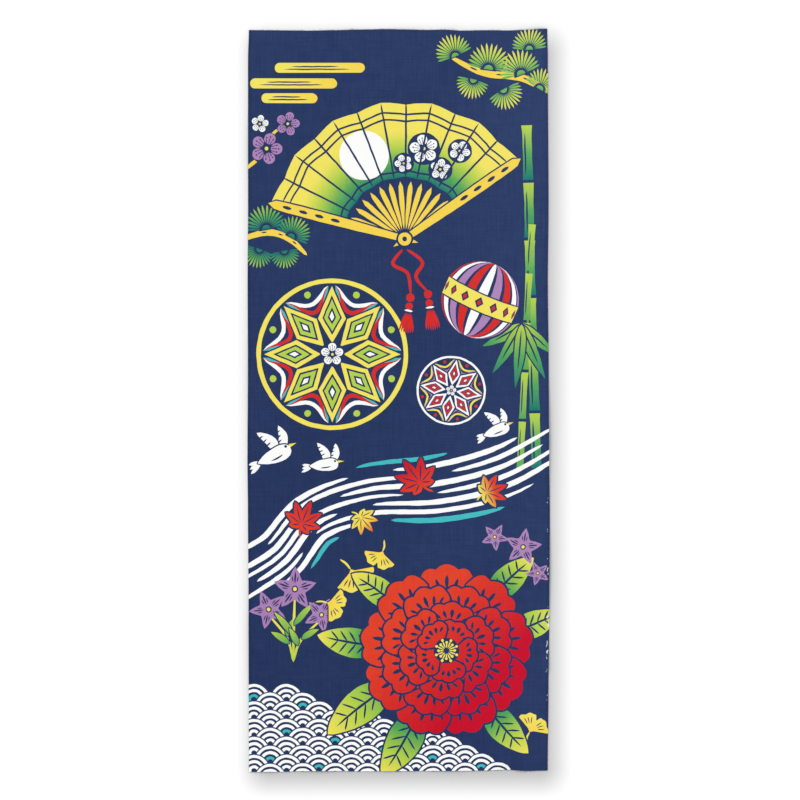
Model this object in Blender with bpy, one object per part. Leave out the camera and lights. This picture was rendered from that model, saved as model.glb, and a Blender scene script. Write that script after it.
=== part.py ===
"""A tenugui: one plain cut length of thin cotton cloth, dyed all over, lying face up on a table.

The cloth is a single sheet. Its long sides are the woven selvedges and its short ends are simply cut,
with no hem, so the outline wanders a little and the ends lift off the table in low ripples.
The sheet lies in the XY plane: X runs across the cloth, Y runs up its length, and Z is its thickness.
The origin is on the table, under the middle of the cloth.
"""

import math
from collections import namedtuple

import bpy
import numpy as np

# The plain rectangle that the cloth was cut to, in metres.
LENGTH = 0.900
WIDTH = 0.3645
THICKNESS = 0.0010

# The mesh of the sheet. Rows stand closer together near the cut ends, where the ripples are.
COLUMNS = 30
ROWS = 50
CROWDING = 0.45

# How far the wander of a cut end reaches into the cloth.
END_REACH = 0.070

# The dyed ground, as the sheet's own plain colour.
NAVY = (0.024, 0.042, 0.130, 1.0)
COTTON_ROUGHNESS = 0.92

# Where each selvedge lies outside (+) or inside (-) the plain rectangle, from the lower end to the upper.
Side = namedtuple("Side", "up left_out right_out")
SIDES = (
    Side(up=0.00, left_out=-0.0009, right_out=-0.0008),
    Side(up=0.11, left_out=-0.0006, right_out=0.0002),
    Side(up=0.22, left_out=-0.0005, right_out=0.0013),
    Side(up=0.35, left_out=0.0003, right_out=0.0019),
    Side(up=0.42, left_out=0.0009, right_out=0.0010),
    Side(up=0.54, left_out=0.0003, right_out=0.0005),
    Side(up=0.66, left_out=0.0007, right_out=-0.0006),
    Side(up=0.76, left_out=0.0001, right_out=0.0003),
    Side(up=0.96, left_out=0.0002, right_out=-0.0006),
    Side(up=1.00, left_out=-0.0008, right_out=-0.0013),
)

# Where each cut end lies outside (+) or inside (-) the plain rectangle, from the left side to the right.
End = namedtuple("End", "across lower_out upper_out")
ENDS = (
    End(across=0.00, lower_out=0.0012, upper_out=-0.0001),
    End(across=0.10, lower_out=0.0010, upper_out=-0.0004),
    End(across=0.20, lower_out=0.0000, upper_out=-0.0008),
    End(across=0.30, lower_out=-0.0001, upper_out=-0.0002),
    End(across=0.36, lower_out=0.0005, upper_out=0.0004),
    End(across=0.46, lower_out=0.0003, upper_out=0.0011),
    End(across=0.60, lower_out=-0.0001, upper_out=0.0000),
    End(across=0.65, lower_out=-0.0003, upper_out=0.0005),
    End(across=0.72, lower_out=-0.0002, upper_out=-0.0009),
    End(across=0.80, lower_out=-0.0006, upper_out=-0.0002),
    End(across=0.87, lower_out=-0.0016, upper_out=-0.0006),
    End(across=0.93, lower_out=-0.0001, upper_out=0.0001),
    End(across=1.00, lower_out=-0.0006, upper_out=0.0016),
)

# Low ripples, where the cloth stands off the table. Each is a soft bell round a place given as shares of
# the width and of the length; its reaches and its height are in metres.
Ripple = namedtuple("Ripple", "across up reach_across reach_up height")
RIPPLES = (
    # along the lower cut end
    Ripple(across=0.05, up=0.00, reach_across=0.030, reach_up=0.045, height=0.0011),
    Ripple(across=0.24, up=0.00, reach_across=0.036, reach_up=0.060, height=0.0018),
    Ripple(across=0.48, up=0.00, reach_across=0.030, reach_up=0.040, height=0.0009),
    Ripple(across=0.67, up=0.00, reach_across=0.034, reach_up=0.050, height=0.0014),
    Ripple(across=0.87, up=0.00, reach_across=0.030, reach_up=0.075, height=0.0030),
    # along the upper cut end
    Ripple(across=0.17, up=1.00, reach_across=0.034, reach_up=0.055, height=0.0017),
    Ripple(across=0.33, up=1.00, reach_across=0.026, reach_up=0.035, height=0.0008),
    Ripple(across=0.54, up=1.00, reach_across=0.030, reach_up=0.045, height=0.0011),
    Ripple(across=0.72, up=1.00, reach_across=0.032, reach_up=0.070, height=0.0024),
    Ripple(across=1.00, up=1.00, reach_across=0.040, reach_up=0.050, height=0.0027),
    # along the left selvedge
    Ripple(across=0.00, up=0.18, reach_across=0.034, reach_up=0.090, height=0.0014),
    Ripple(across=0.00, up=0.53, reach_across=0.030, reach_up=0.080, height=0.0010),
    Ripple(across=0.00, up=0.84, reach_across=0.032, reach_up=0.070, height=0.0013),
    # along the right selvedge
    Ripple(across=1.00, up=0.10, reach_across=0.040, reach_up=0.085, height=0.0020),
    Ripple(across=1.00, up=0.27, reach_across=0.036, reach_up=0.080, height=0.0016),
    Ripple(across=1.00, up=0.45, reach_across=0.034, reach_up=0.095, height=0.0022),
    Ripple(across=1.00, up=0.68, reach_across=0.042, reach_up=0.110, height=0.0026),
    Ripple(across=1.00, up=0.86, reach_across=0.034, reach_up=0.070, height=0.0014),
    # broad, very low swells inside the cloth
    Ripple(across=0.33, up=0.30, reach_across=0.085, reach_up=0.120, height=0.0008),
    Ripple(across=0.66, up=0.76, reach_across=0.090, reach_up=0.110, height=0.0010),
    Ripple(across=0.30, up=0.68, reach_across=0.060, reach_up=0.090, height=0.0006),
)


def clear_scene():
    """Empty the scene, so that only the cloth is left in it."""
    for thing in list(bpy.data.objects):
        bpy.data.objects.remove(thing, do_unlink=True)


def eased(places, values, at):
    """Read a table at any place: level at each row, with a smooth ease from one row to the next."""
    row = np.clip(np.searchsorted(places, at, side="right") - 1, 0, len(places) - 2)
    share = np.clip((at - places[row]) / (places[row + 1] - places[row]), 0.0, 1.0)
    ease = share * share * (3.0 - 2.0 * share)
    return values[row] + (values[row + 1] - values[row]) * ease


def bell(distance, reach):
    """1 at the middle, falling as half a cosine wave to 0 at the reach and beyond."""
    return 0.5 + 0.5 * np.cos(math.pi * np.clip(np.abs(distance) / reach, 0.0, 1.0))


def cloth_points():
    """The underside of the cloth as a grid of points, one row of the array for each row of the mesh."""
    step = np.linspace(0.0, 1.0, ROWS + 1)
    crowded = step - CROWDING * np.sin(2.0 * math.pi * step) / (2.0 * math.pi)
    across, up = np.meshgrid(np.linspace(0.0, 1.0, COLUMNS + 1), crowded)

    side_up, left_out, right_out = np.array(SIDES).T
    x = (across - 0.5) * WIDTH
    x -= (1.0 - across) * eased(side_up, left_out, up)
    x += across * eased(side_up, right_out, up)

    end_across, lower_out, upper_out = np.array(ENDS).T
    y = (up - 0.5) * LENGTH
    y -= bell(up * LENGTH, END_REACH) * eased(end_across, lower_out, across)
    y += bell((1.0 - up) * LENGTH, END_REACH) * eased(end_across, upper_out, across)

    z = np.zeros_like(x)
    for ripple in RIPPLES:
        near_across = bell((across - ripple.across) * WIDTH, ripple.reach_across)
        near_up = bell((up - ripple.up) * LENGTH, ripple.reach_up)
        z = np.maximum(z, ripple.height * near_across * near_up)

    # The origin is under the middle of the cloth's own box.
    x -= (x.min() + x.max()) / 2.0
    y -= (y.min() + y.max()) / 2.0
    return np.stack([x, y, z], axis=-1)


def grid_faces(rows, columns):
    """Each square of the grid as four point numbers, counter-clockwise from above."""
    first = np.arange(rows)[:, None] * (columns + 1) + np.arange(columns)[None, :]
    corners = [first, first + 1, first + columns + 2, first + columns + 1]
    return np.stack(corners, axis=-1).reshape(-1, 4)


def cotton_material():
    """Matt cotton, dyed navy."""
    cotton = bpy.data.materials.new("navy_cotton")
    cotton.use_nodes = True
    shader = cotton.node_tree.nodes["Principled BSDF"]
    shader.inputs["Base Color"].default_value = NAVY
    shader.inputs["Roughness"].default_value = COTTON_ROUGHNESS
    shader.inputs["Metallic"].default_value = 0.0
    return cotton


def make_cloth():
    """The whole towel: the underside drawn as a grid, then thickened upwards into one closed sheet."""
    points = cloth_points().reshape(-1, 3)
    mesh = bpy.data.meshes.new("towel_cloth")
    mesh.from_pydata(points.tolist(), [], grid_faces(ROWS, COLUMNS).tolist())
    mesh.materials.append(cotton_material())
    mesh.validate()
    mesh.shade_smooth()
    cloth = bpy.data.objects.new("towel_cloth", mesh)
    bpy.context.scene.collection.objects.link(cloth)

    body = cloth.modifiers.new("cloth_thickness", "SOLIDIFY")
    body.thickness = THICKNESS
    body.offset = 1.0
    body.use_rim = True
    return cloth


clear_scene()
make_cloth()
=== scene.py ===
# %% [markdown]
# # A dyed hand towel, laid flat
#
# The real object is one cut length of thin plain-woven cotton, about 36 by 90 cm. Its long sides are
# woven selvedges, its short ends are simply cut, and a stencilled design is dyed through it on a navy
# ground.
#
# The lesson starts from a rigid solid of the cloth, which says how large it is, how its outline wanders
# and where it ripples. Everything below dresses that solid: a thin sheet laid over its ripples, a design
# cut as outlines and set into the sheet's own faces, a cotton finish, and the loose threads of the cut
# ends.

# %% Load the fixed frame
from collections import namedtuple

import bpy
import numpy as np
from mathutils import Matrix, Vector, geometry
from mathutils.bvhtree import BVHTree


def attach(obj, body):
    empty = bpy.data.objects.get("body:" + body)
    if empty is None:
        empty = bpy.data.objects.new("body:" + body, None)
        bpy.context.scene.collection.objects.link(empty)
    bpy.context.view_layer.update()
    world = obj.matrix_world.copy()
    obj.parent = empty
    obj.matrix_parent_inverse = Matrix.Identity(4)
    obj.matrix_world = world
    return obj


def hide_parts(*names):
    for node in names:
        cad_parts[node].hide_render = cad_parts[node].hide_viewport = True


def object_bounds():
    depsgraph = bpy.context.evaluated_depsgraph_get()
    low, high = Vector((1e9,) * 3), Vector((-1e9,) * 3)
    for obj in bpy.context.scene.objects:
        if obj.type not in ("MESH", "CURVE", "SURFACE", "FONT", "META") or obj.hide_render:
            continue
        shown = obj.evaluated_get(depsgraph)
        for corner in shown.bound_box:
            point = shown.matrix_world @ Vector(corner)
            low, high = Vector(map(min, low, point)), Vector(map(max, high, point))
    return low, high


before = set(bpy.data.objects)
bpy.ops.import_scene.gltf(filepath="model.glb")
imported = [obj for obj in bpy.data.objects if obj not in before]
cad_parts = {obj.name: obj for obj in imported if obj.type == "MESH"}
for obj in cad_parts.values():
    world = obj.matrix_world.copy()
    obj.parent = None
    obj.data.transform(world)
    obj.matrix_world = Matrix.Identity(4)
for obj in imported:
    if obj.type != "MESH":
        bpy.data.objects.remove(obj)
solid_low, solid_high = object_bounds()
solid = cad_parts["towel_cloth"]
print("the solid measures", [round(side, 4) for side in solid_high - solid_low], "metres")

# %% [markdown]
# ## The camera
#
# The photograph looks straight down at the cloth. Its place in the picture gives the camera: the cloth's
# length in metres over its length in pixels is the size of one pixel, and the picture's middle says where
# the camera stands. A long lens from far off keeps the sides parallel, as they are there.

# %% Set the camera
PICTURE_SIDE = 800
CLOTH_LEFT, CLOTH_RIGHT = 247.8, 549.5
CLOTH_TOP, CLOTH_BOTTOM = 28.4, 772.3
LENS_MM = 135.0
SENSOR_MM = 36.0

metres_per_pixel = (solid_high.y - solid_low.y) / (CLOTH_BOTTOM - CLOTH_TOP)
picture_width = PICTURE_SIDE * metres_per_pixel
camera_data = bpy.data.cameras.new("straight_down")
camera_data.lens = LENS_MM
camera_data.sensor_width = SENSOR_MM
camera = bpy.data.objects.new("straight_down", camera_data)
camera.location = (
    (PICTURE_SIDE - CLOTH_LEFT - CLOTH_RIGHT) / 2 * metres_per_pixel,
    (CLOTH_TOP + CLOTH_BOTTOM - PICTURE_SIDE) / 2 * metres_per_pixel,
    solid_high.z + picture_width * LENS_MM / SENSOR_MM,
)
bpy.context.scene.collection.objects.link(camera)
bpy.context.scene.camera = camera
print("one pixel is", round(metres_per_pixel * 1000, 3), "mm")
print("the camera is", round(camera.location.z, 2), "m up")

# %% [markdown]
# ## A wire that does sums
#
# Shader maths is easier to read as a formula than as a picture of nodes. This class wraps one socket:
# adding or multiplying wires adds the Math nodes, and `node` makes any other kind of node.

# %% Wrap a shader socket
class Wire:
    """A socket of a shader tree, used like a number: each sum on it adds a Math node."""

    def __init__(self, tree, socket=None):
        self.tree = tree
        self.socket = socket

    def node(self, kind, settings=None, sockets=None, output=0):
        """Any node: first its settings, then the values or wires of its sockets."""
        made = self.tree.nodes.new(kind)
        for name, setting in (settings or {}).items():
            setattr(made, name, setting)
        for name, value in (sockets or {}).items():
            if isinstance(value, Wire):
                self.tree.links.new(value.socket, made.inputs[name])
            else:
                made.inputs[name].default_value = value
        return Wire(self.tree, made.outputs[output])

    def maths(self, operation, *numbers):
        """A Math node on numbers or wires."""
        return self.node("ShaderNodeMath", {"operation": operation}, dict(enumerate(numbers)))

    def __add__(self, other):
        return self.maths("ADD", self, other)

    def __radd__(self, other):
        return self.maths("ADD", other, self)

    def __sub__(self, other):
        return self.maths("SUBTRACT", self, other)

    def __rsub__(self, other):
        return self.maths("SUBTRACT", other, self)

    def __mul__(self, other):
        return self.maths("MULTIPLY", self, other)

    def __rmul__(self, other):
        return self.maths("MULTIPLY", other, self)

    def __abs__(self):
        return self.maths("ABSOLUTE", self)

    def sine(self):
        return self.maths("SINE", self)

    def above(self, edge):
        return self.maths("GREATER_THAN", self, edge)

    def ease(self, low, high):
        """0 below low and 1 above high, with a smooth step between them."""
        sockets = {"Value": self, "From Min": low, "From Max": high}
        return self.node("ShaderNodeMapRange", {"interpolation_type": "SMOOTHSTEP"}, sockets)

    def blend(self, factor, first, second):
        """A Mix node on colours: the first where the factor is 0, the second where it is 1."""
        sockets = {0: factor, 6: first, 7: second}
        return self.node("ShaderNodeMix", {"data_type": "RGBA"}, sockets, output=2)

    def split(self):
        """The x, y and z of a vector."""
        made = self.node("ShaderNodeSeparateXYZ", None, {0: self})
        return [Wire(self.tree, output) for output in made.socket.node.outputs]

    def into(self, socket):
        """Lead this wire into a socket of the shader."""
        self.tree.links.new(self.socket, socket)


def new_material(name):
    """An empty material with a Principled shader, and a wire to start its sums from."""
    material = bpy.data.materials.new(name)
    material.use_nodes = True
    return material, material.node_tree.nodes["Principled BSDF"], Wire(material.node_tree)


print("a wire can be:", ", ".join(name for name in vars(Wire) if not name.startswith("_")))

# %% [markdown]
# ## Floor and studio light
#
# Plain pale floor, plain soft light. A white world fills every shadow, and one broad lamp stands off to
# the upper left, so that the ripples at the edges shade a little. In the photograph the cloth also has a
# wide soft shade round it, shifted down and to the right. The floor carries that shade in its own colour:
# a rectangle whose four edges ease off, so the lamp can stay broad.

# %% Lay the floor
FLOOR_SIDE = 14.0
FLOOR_DROP = 0.0002
FLOOR_WHITE = (0.985, 0.985, 0.985, 1.0)
SHADE_GREY = (0.50, 0.50, 0.505, 1.0)
SHADE_LEFT, SHADE_RIGHT = -0.1810, 0.1948
SHADE_LOW, SHADE_HIGH = -0.4685, 0.4447
SHADE_SOFTNESS = 0.025
FLOOR_ROUGHNESS = 0.9
FLOOR_SHINE = 0.1


def floor_material():
    """Pale floor with a soft shade: the product of four smooth steps, one at each edge of a rectangle."""
    material, shader, wire = new_material("pale_floor")
    x, y, _ = wire.node("ShaderNodeTexCoord", output=3).split()
    shade = x.ease(SHADE_LEFT - SHADE_SOFTNESS, SHADE_LEFT + SHADE_SOFTNESS)
    shade = shade * (1.0 - x.ease(SHADE_RIGHT - SHADE_SOFTNESS, SHADE_RIGHT + SHADE_SOFTNESS))
    shade = shade * y.ease(SHADE_LOW - SHADE_SOFTNESS, SHADE_LOW + SHADE_SOFTNESS)
    shade = shade * (1.0 - y.ease(SHADE_HIGH - SHADE_SOFTNESS, SHADE_HIGH + SHADE_SOFTNESS))
    wire.blend(shade, FLOOR_WHITE, SHADE_GREY).into(shader.inputs["Base Color"])
    shader.inputs["Roughness"].default_value = FLOOR_ROUGHNESS
    shader.inputs["Specular IOR Level"].default_value = FLOOR_SHINE
    return material


def make_floor():
    """A plain square just under the cloth."""
    half = FLOOR_SIDE / 2
    square = ((-half, -half), (half, -half), (half, half), (-half, half))
    corners = [(x, y, -FLOOR_DROP) for x, y in square]
    mesh = bpy.data.meshes.new("floor")
    mesh.from_pydata(corners, [], [(0, 1, 2, 3)])
    mesh.materials.append(floor_material())
    floor = bpy.data.objects.new("floor", mesh)
    bpy.context.scene.collection.objects.link(floor)


make_floor()
print("the floor lies", FLOOR_DROP * 1000, "mm under the cloth")

# %% Light the scene
SKY_STRENGTH = 0.87
LAMP_STRENGTH = 1.03
LAMP_SOFTNESS = 0.60
LAMP_FROM = (-0.62, 0.50, 0.60)


def light_scene():
    """A white world, and one broad sun as the studio lamp."""
    scene = bpy.context.scene
    scene.view_settings.view_transform = "Standard"
    world = bpy.data.worlds.new("white_room")
    world.use_nodes = True
    background = world.node_tree.nodes["Background"]
    background.inputs["Color"].default_value = (1.0, 1.0, 1.0, 1.0)
    background.inputs["Strength"].default_value = SKY_STRENGTH
    scene.world = world
    lamp_data = bpy.data.lights.new("broad_lamp", "SUN")
    lamp_data.energy = LAMP_STRENGTH
    lamp_data.angle = LAMP_SOFTNESS
    lamp = bpy.data.objects.new("broad_lamp", lamp_data)
    lamp.location = LAMP_FROM
    lamp.rotation_euler = Vector(LAMP_FROM).to_track_quat("Z", "Y").to_euler()
    scene.collection.objects.link(lamp)


light_scene()
print("the lamp is", round(float(np.degrees(LAMP_SOFTNESS))), "degrees wide")

# %% [markdown]
# ## The dyes
#
# Twelve dyes, each set so that the studio light shows it as the real one looks. They are written as hex
# colours and turned into the linear light values that shading works in.

# %% Mix the dyes
def linear(hex_colour):
    """A hex colour as linear light: each band divided by 255, then the display curve undone."""
    bands = np.array([int(hex_colour[i:i + 2], 16) for i in (1, 3, 5)]) / 255
    return np.where(bands <= 0.04045, bands / 12.92, ((bands + 0.055) / 1.055) ** 2.4)


HEX_COLOURS = {
    "navy": "#23345d",
    "white": "#f8f9f7",
    "yellow": "#eedf5e",
    "gold": "#f1d04c",
    "lime": "#b0cd4a",
    "green": "#52a254",
    "teal": "#0d706a",
    "orange": "#dc4026",
    "red": "#d02a27",
    "crimson": "#c20627",
    "lavender": "#a880b3",
    "turquoise": "#40b6bb",
}
DYES = {name: linear(hex_colour) for name, hex_colour in HEX_COLOURS.items()}
print(len(DYES), "dyes, the ground", np.round(DYES["navy"], 3), "in linear light")

# %% [markdown]
# ## Stencil tools
#
# Cloth of this kind is dyed through a paper stencil. Paste pushed through the holes keeps the ground off,
# and dyes are poured inside banks of paste, so that one colour can fade into the next. The design here is
# made the same way, as a list of cuts: each is an outline in millimetres on the flat cloth, the dyes that
# fill it, and the line along which they fade. A picture laid over the cloth could do it too, but it would
# blur from close by, and outlines never do. A later cut lies over an earlier one, and a cut filled with
# the ground's navy takes colour away again. That is how veins and gaps are made, and it keeps every shape
# a simple outline.
#
# Inside a motif, a number times its radius, length or width is a share of it; the other lengths are
# millimetres on the cloth, and the angles are degrees.

# %% Draw lines
def polar(radius, angle):
    """Points at a radius and an angle in degrees, counted clockwise from straight up."""
    turn = np.radians(angle)
    return np.stack([radius * np.sin(turn), radius * np.cos(turn)], axis=-1)


def turned(points, angle):
    """Points turned clockwise by an angle in degrees."""
    c, s = np.cos(np.radians(angle)), np.sin(np.radians(angle))
    return np.asarray(points, float) @ np.array([[c, -s], [s, c]])


def smooth_line(knots, count):
    """A curve through every knot, a cubic on each stretch, whose slope is half the chord past each knot."""
    knots = np.asarray(knots, float)
    padded = np.vstack([2 * knots[0] - knots[1], knots, 2 * knots[-1] - knots[-2]])
    place = np.linspace(0, len(knots) - 1, count)
    part = np.minimum(place.astype(int), len(knots) - 2)
    t = (place - part)[:, None]
    a, b, c, d = (padded[part + k] for k in range(4))
    return b + 0.5 * t * (c - a + t * (2 * a - 5 * b + 4 * c - d + t * (3 * (b - c) + d - a)))


print("a line through three knots:", smooth_line([(0, 0), (5, 8), (10, 0)], 5).round(1).tolist())

# %% Draw outlines
CHORD_SAG = 0.045


def ribbon(spine, width, power=0.5, lean=0.5):
    """A brush stroke: a spine widened by half its width times a power of sin(pi t), fattest at lean."""
    t = np.linspace(0, 1, len(spine))
    swell = np.sin(np.pi * t ** (np.log(0.5) / np.log(lean))) ** power
    along = np.gradient(spine, axis=0)
    along /= np.linalg.norm(along, axis=1, keepdims=True) + 1e-9
    side = np.stack([-along[:, 1], along[:, 0]], axis=1) * (swell * width / 2)[:, None]
    return np.vstack([spine + side, (spine - side)[-2:0:-1]])


def disc(radius, centre=(0, 0)):
    """A round outline, with points so close that its chords stray no more than the chord sag."""
    count = max(8, int(np.ceil(np.pi / np.arccos(1 - CHORD_SAG / radius))))
    return polar(radius, np.linspace(0, 360, count, endpoint=False)) + np.asarray(centre, float)


def leaf(length, width, bend=0.0, power=0.8, lean=0.42, count=25):
    """A leaf on end: a spine that bends sideways as the square of the way along, widened to points."""
    t = np.linspace(0, 1, count)
    return ribbon(np.stack([bend * t * t, length * t], axis=1), width, power, lean)


def grown(outline, by):
    """The outline moved outwards, each point square to the line between its neighbours."""
    along = np.roll(outline, -1, 0) - np.roll(outline, 1, 0)
    along /= np.linalg.norm(along, axis=1, keepdims=True) + 1e-9
    x, y = outline.T
    area = np.sum(x * np.roll(y, -1) - np.roll(x, -1) * y)
    return outline + np.stack([along[:, 1], -along[:, 0]], axis=1) * np.sign(area) * by


print("a disc of 20 mm takes", len(disc(20)), "points, a leaf", len(leaf(80, 30)))

# %% Cut holes and place them
Cut = namedtuple("Cut", "outline dyes fade")
UPWARDS = ((0, 0), (0, 1))


def cut(outline, *dyes, fade=UPWARDS):
    """One hole of the stencil, as a list of one."""
    return [Cut(np.asarray(outline, float), dyes, np.asarray(fade, float))]


def stroke(knots, width, *dyes, power=0.5, lean=0.5, count=9, fade=UPWARDS):
    """A brush stroke through the knots, as a cut."""
    return cut(ribbon(smooth_line(knots, count), width, power, lean), *dyes, fade=fade)


def outlined(outline, gap, *dyes, fade=UPWARDS):
    """A shape with a band of bare ground round it, so that it stands clear of what lies behind it."""
    return cut(grown(outline, gap), "navy") + cut(outline, *dyes, fade=fade)


def placed(cuts, x=0, y=0, angle=0, size=1):
    """A motif scaled, turned and moved to its place."""
    shift = np.array([x, y], float)
    return [
        Cut(turned(one.outline * size, angle) + shift, one.dyes, turned(one.fade * size, angle) + shift)
        for one in cuts
    ]


print("a stroke takes", len(stroke([(0, 0), (10, 0)], 2, "white")[0].outline), "points")

# %% [markdown]
# ## Flowers
#
# Small flowers are one petal turned round a heart. The big one is four rings of ruffled petals, laid from
# the outside in, each with its own band of bare ground, as a stencil cutter separates petals of one
# colour. Petals could be drawn point by point, but a formula and a few shares give one at every size.

# %% Cut the small flowers
def plum(radius, dye):
    """Five round petals round a heart, with three stamens cut into each petal."""
    cuts = []
    for k in range(5):
        petal = cut(disc(radius * 0.345, (0, radius * 0.62)), dye)
        for lean, reach in ((-24, 0.66), (0, 0.74), (24, 0.66)):
            tip = polar(radius * reach, lean * 0.75)
            petal += stroke([polar(radius * 0.22, lean), tip], radius * 0.045, "navy", power=0.3, count=4)
            petal += cut(disc(radius * 0.05, tip), "navy")
        cuts += placed(petal, angle=72 * k)
    return cuts + cut(disc(radius * 0.17), "navy") + cut(disc(radius * 0.115), "yellow")


def bellflower(radius, dye):
    """Five pointed petals: the radius swings from half to full as a power of a zigzag in the angle."""
    angle = np.linspace(0, 360, 120, endpoint=False)
    zigzag = np.abs((angle / 72) % 1 - 0.5) * 2
    cuts = cut(polar(radius * (0.5 + 0.5 * zigzag ** 1.7), angle), dye)
    for k in range(5):
        veins = stroke([(0, radius * 0.24), (0, radius * 0.80)], radius * 0.08, "navy", power=0.6, count=6)
        for side in (-radius, radius):
            knots = [(side * 0.09, radius * 0.30), (side * 0.13, radius * 0.60)]
            veins += stroke(knots, radius * 0.055, "navy", power=0.6, count=5)
        cuts += placed(veins, angle=72 * k)
    return cuts + cut(disc(radius * 0.15), "navy") + cut(disc(radius * 0.09), "yellow")


print("a plum flower takes", len(plum(15, "white")), "cuts, a bellflower", len(bellflower(15, "white")))

# %% Shape the peony's petals
PeonyRing = namedtuple("PeonyRing", "petals inner outer half_angle ruffle twist")
PEONY_RINGS = (
    PeonyRing(petals=9, inner=0.34, outer=1.00, half_angle=23.5, ruffle=0.050, twist=0),
    PeonyRing(petals=8, inner=0.26, outer=0.775, half_angle=26.0, ruffle=0.060, twist=22),
    PeonyRing(petals=6, inner=0.16, outer=0.56, half_angle=34.0, ruffle=0.070, twist=8),
    PeonyRing(petals=5, inner=0.08, outer=0.36, half_angle=42.0, ruffle=0.080, twist=30),
)


def ruffled_petal(ring):
    """A wide petal on end.

    Its rim droops to the sides as the cube of the angle and is scalloped by three half cosine waves. Its
    sides run in to the foot, a little rounded by half a sine wave.
    """
    u = np.linspace(-1, 1, 43)
    scallop = np.abs(np.cos(1.5 * np.pi * u)) - 0.6
    rim = ring.outer * (1 - 0.16 * np.abs(u) ** 3 + ring.ruffle * scallop)
    t = np.linspace(0, 1, 7)[1:]
    side_radius = rim[-1] + (ring.inner - rim[-1]) * t
    side_angle = ring.half_angle * (1 - 0.62 * t + 0.20 * np.sin(np.pi * t))
    return np.vstack([
        polar(rim, u * ring.half_angle),
        polar(side_radius, side_angle),
        polar(side_radius, -side_angle)[::-1],
    ])


print("a petal takes", len(ruffled_petal(PEONY_RINGS[0])), "points")

# %% Cut the peony
PEONY_DYES = ("orange", "orange", "red", "crimson", "crimson")
PEONY_GAP = 2.4


def peony(radius):
    """Four rings of ruffled petals that fade across the whole flower, and a cup of stamens."""
    cuts = []
    across = np.array([(-0.80, 0.75), (0.80, -0.80)]) * radius
    for ring in PEONY_RINGS:
        span = radius * (ring.outer - ring.inner)
        for k in range(ring.petals):
            angle = 360 / ring.petals * k + ring.twist
            outline = turned(ruffled_petal(ring) * radius, angle)
            cuts += outlined(outline, PEONY_GAP, *PEONY_DYES, fade=across)
            for vein in (-2, -1, 0, 1, 2):
                start = polar(radius * ring.outer - span * 0.46, vein * ring.half_angle * 0.25)
                reach = span * (0.16 + 0.05 * abs(vein))
                end = polar(radius * ring.outer - reach, vein * ring.half_angle * 0.38)
                width = radius * (0.046 - 0.007 * abs(vein))
                one = stroke([start, end], width, "navy", power=0.7, lean=0.6, count=7)
                cuts += placed(one, angle=angle)
    cuts += cut(disc(radius * 0.150), "navy")
    for k in range(16):
        tip = polar(radius * (0.128 if k % 2 else 0.095), 22.5 * k)
        cuts += stroke([polar(radius * 0.03, 22.5 * k), tip], 1.6, "yellow", power=0.3, count=4)
        cuts += cut(disc(1.7, tip), "yellow")
    return cuts


print("the peony takes", len(peony(100)), "cuts")

# %% [markdown]
# ## Leaves, pine and bamboo
#
# Nearly every leaf is the same curve, a spine widened to two points, so one function serves them all. Seven
# of them on one stalk make a maple leaf, fifteen thin ones a tuft of pine needles, and five hanging ones a
# spray of bamboo. Only the ginkgo's notched fan has a curve of its own.

# %% Cut the leaves that fall
def maple(radius, *dyes):
    """Seven pointed lobes on one stalk, each with its vein."""
    fade = ((0, -radius * 0.3), (0, radius))
    lobes = ((-118, 0.50), (118, 0.50), (-78, 0.78), (78, 0.78), (-39, 0.93), (39, 0.93), (0, 1.0))
    outlines = [
        turned(leaf(radius * length, radius * 0.34, power=0.75, lean=0.40, count=19), angle)
        for angle, length in lobes
    ]
    stalk = [(0, 0), (radius * 0.05, -radius * 0.3), (radius * 0.2, -radius * 0.55)]
    cuts = []
    for outline in outlines:
        cuts += cut(grown(outline, 2.0), "navy")
    for outline in outlines:
        cuts += cut(outline, *dyes, fade=fade)
    for angle, length in lobes:
        knots = [(0, radius * 0.05), (0, radius * length * 0.78)]
        cuts += placed(stroke(knots, radius * 0.05, "navy", power=0.6, count=6), angle=angle)
    return cuts + stroke(stalk, radius * 0.08, *dyes, power=0.3, count=7, fade=fade)


def ginkgo(radius, *dyes):
    """A notched leaf like an open fan: its rim dips as a narrow bell and ripples as a cosine."""
    angle = np.linspace(-68, 68, 47)
    rim = radius * (1 - 0.34 * np.exp(-((angle / 6.5) ** 2)) + 0.035 * np.cos(np.radians(angle * 12)))
    waist = np.array([(0.16, 0.10), (0, -0.04), (-0.16, 0.10)]) * radius
    cuts = outlined(np.vstack([polar(rim, angle), waist]), 1.6, *dyes, fade=((0, 0), (0, radius)))
    for lean in (-54, -38, -22, 22, 38, 54):
        knots = [polar(radius * 0.42, lean * 0.86), polar(radius * 0.84, lean)]
        cuts += stroke(knots, radius * 0.055, "navy", power=0.6, count=6)
    stalk = [(0, 0), (radius * 0.04, -radius * 0.35), (radius * 0.20, -radius * 0.68)]
    return cuts + stroke(stalk, radius * 0.10, dyes[-1], power=0.3, count=7)


print("a maple leaf takes", len(maple(30, "red")), "cuts, a ginkgo leaf", len(ginkgo(20, "gold")))

# %% Cut the broad leaves and the pine
def broad_leaf(length, width, bend, *dyes):
    """A leaf with its midrib and four pairs of side veins cut out."""
    cuts = outlined(leaf(length, width, bend, 0.72, 0.42, 21), 2.0, *dyes, fade=((0, 0), (0, length)))
    t = np.linspace(0, 0.86, 12)
    cuts += cut(ribbon(np.stack([bend * t * t, length * t], axis=1), 2.8, 0.35), "navy")
    for share in (0.24, 0.38, 0.52, 0.66):
        foot = np.array([bend * share ** 2, length * share])
        half = width * 0.40 * np.sin(np.pi * share ** 0.8)
        for side in (-half, half):
            cuts += stroke([foot, foot + (side, length * 0.13)], 2.3, "navy", count=6)
    return cuts


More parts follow.
